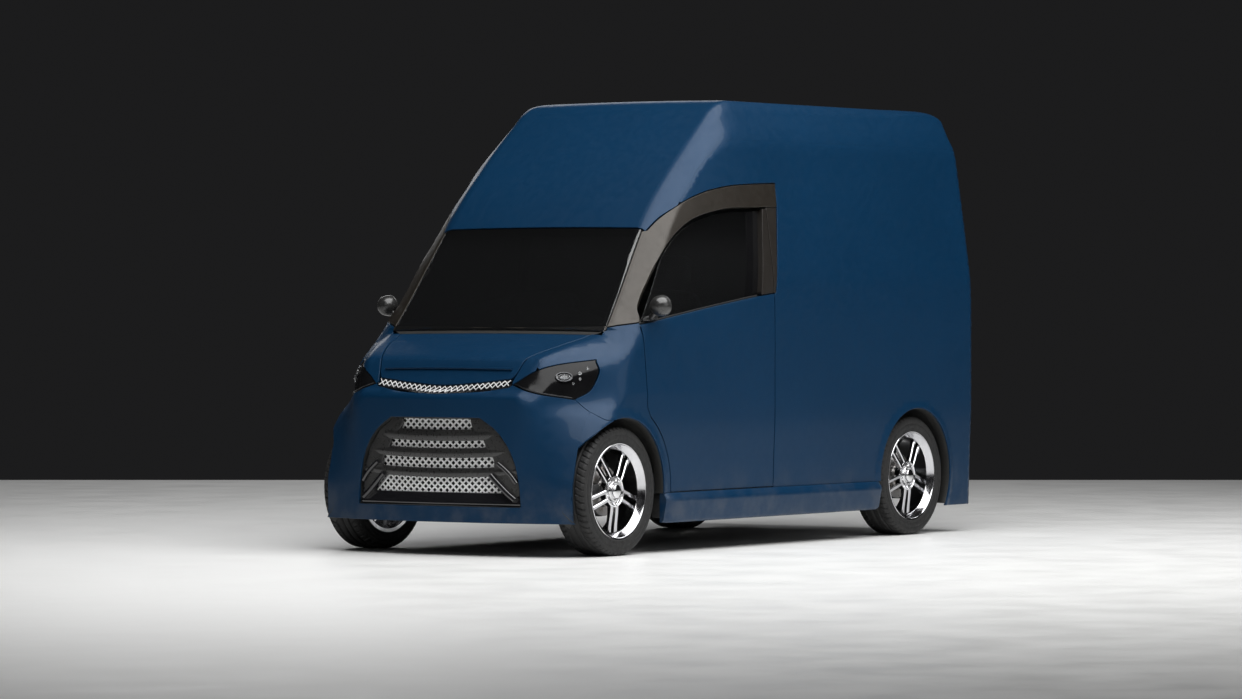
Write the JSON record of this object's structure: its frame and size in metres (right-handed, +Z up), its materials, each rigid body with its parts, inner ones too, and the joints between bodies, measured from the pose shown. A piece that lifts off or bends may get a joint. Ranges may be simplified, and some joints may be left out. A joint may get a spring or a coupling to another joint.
{
  "type": "electric cargo van",
  "caption": "Light high-roof electric cargo van with cab-forward nose, swinging cab doors, rear barn doors, hood, coupled steering and rolling wheels.",
  "frame": {"origin": "on the ground, on the centre line, at the middle of the overall length", "axes": "+X forward, +Y to the vehicle's left, +Z up"},
  "size_m": [3.41, 1.586, 2.018],
  "materials": {
    "body_paint": "gloss",
    "chassis_steel": "satin",
    "inner_steel": "satin",
    "battery_case": "satin",
    "motor_case": "satin",
    "black_plastic": "matte",
    "lamp_black": "gloss",
    "lamp_red": "gloss",
    "dark_glass": "gloss",
    "bronze_trim": "matte",
    "seat_fabric": "matte",
    "polished_rim": "polished",
    "tyre_rubber": "matte"
  },
  "bodies": {
    "body": {"chassis_frame": "chassis_steel", "battery_pack": "battery_case", "drive_motor": "motor_case", "rear_axle": "chassis_steel", "front_suspension": "chassis_steel", "floor_pan": "inner_steel", "firewall": "inner_steel", "front_bumper": "body_paint", "grille": "black_plastic", "headlights": "lamp_black", "fender_left": "body_paint", "fender_right": "body_paint", "windscreen": "dark_glass", "pillar_arch_left": "bronze_trim", "pillar_arch_right": "bronze_trim", "roof_panel": "body_paint", "side_panel_left": "body_paint", "side_panel_right": "body_paint", "sills": "body_paint", "bulkhead": "inner_steel", "dashboard": "black_plastic", "seats": "seat_fabric", "tail_lights": "lamp_red", "rear_bumper": "body_paint"},
    "hood": {"hood": "body_paint"},
    "door_left": {"door_left": "body_paint", "door_glass_left": "dark_glass", "mirror_left": "black_plastic"},
    "door_right": {"door_right": "body_paint", "door_glass_right": "dark_glass", "mirror_right": "black_plastic"},
    "rear_door_left": {"rear_door_left": "body_paint"},
    "rear_door_right": {"rear_door_right": "body_paint"},
    "knuckle_left": {"knuckle_left": "chassis_steel"},
    "knuckle_right": {"knuckle_right": "chassis_steel"},
    "steering_rack": {"steering_rack": "chassis_steel"},
    "steering_wheel": {"steering_wheel": "black_plastic"},
    "wheel_front_left": {"rim_front_left": "polished_rim", "tyre_front_left": "tyre_rubber"},
    "wheel_front_right": {"rim_front_right": "polished_rim", "tyre_front_right": "tyre_rubber"},
    "wheel_rear_left": {"rim_rear_left": "polished_rim", "tyre_rear_left": "tyre_rubber"},
    "wheel_rear_right": {"rim_rear_right": "polished_rim", "tyre_rear_right": "tyre_rubber"}
  },
  "joints": [
    {"name": "hood_hinge", "type": "hinge", "parent": "body", "child": "hood", "pos_m": [1.256, 0, 0.932], "axis": [0, -1, 0], "range_deg": [0, 50]},
    {"name": "door_left_hinge", "type": "hinge", "parent": "body", "child": "door_left", "pos_m": [1.1, 0.722, 0.7], "axis": [0, 0, -1], "range_deg": [0, 65]},
    {"name": "door_right_hinge", "type": "hinge", "parent": "body", "child": "door_right", "pos_m": [1.1, -0.722, 0.7], "axis": [0, 0, 1], "range_deg": [0, 65]},
    {"name": "rear_door_left_hinge", "type": "hinge", "parent": "body", "child": "rear_door_left", "pos_m": [-1.698, 0.566, 1], "axis": [0, 0, -1], "range_deg": [0, 100]},
    {"name": "rear_door_right_hinge", "type": "hinge", "parent": "body", "child": "rear_door_right", "pos_m": [-1.698, -0.566, 1], "axis": [0, 0, 1], "range_deg": [0, 100]},
    {"name": "steer_left", "type": "hinge", "parent": "body", "child": "knuckle_left", "pos_m": [1.3, 0.585, 0.28], "axis": [0, 0, 1], "range_deg": [-32, 32]},
    {"name": "steer_right", "type": "hinge", "parent": "body", "child": "knuckle_right", "pos_m": [1.3, -0.585, 0.28], "axis": [0, 0, 1], "range_deg": [-32.5, 32.5]},
    {"name": "rack_slide", "type": "slide", "parent": "body", "child": "steering_rack", "axis": [0, 1, 0], "range_m": [-0.0525, 0.0525]},
    {"name": "steering_wheel_turn", "type": "hinge", "parent": "body", "child": "steering_wheel", "pos_m": [0.93, 0.33, 0.905], "axis": [-0.8829, 0, 0.4695], "range_deg": [-482, 482]},
    {"name": "wheel_front_left_spin", "type": "hinge", "parent": "knuckle_left", "child": "wheel_front_left", "pos_m": [1.3, 0.6225, 0.28], "axis": [0, 1, 0], "continuous": true},
    {"name": "wheel_front_right_spin", "type": "hinge", "parent": "knuckle_right", "child": "wheel_front_right", "pos_m": [1.3, -0.6225, 0.28], "axis": [0, 1, 0], "continuous": true},
    {"name": "wheel_rear_left_spin", "type": "hinge", "parent": "body", "child": "wheel_rear_left", "pos_m": [-1.15, 0.6225, 0.28], "axis": [0, 1, 0], "continuous": true},
    {"name": "wheel_rear_right_spin", "type": "hinge", "parent": "body", "child": "wheel_rear_right", "pos_m": [-1.15, -0.6225, 0.28], "axis": [0, 1, 0], "continuous": true}
  ],
  "couplings": [
    {"joint": "steer_right", "follows": "steer_left", "ratio": 1},
    {"joint": "rack_slide", "follows": "steer_left", "m_per_rad": -0.0925},
    {"joint": "steering_wheel_turn", "follows": "steer_left", "ratio": 15}
  ]
}
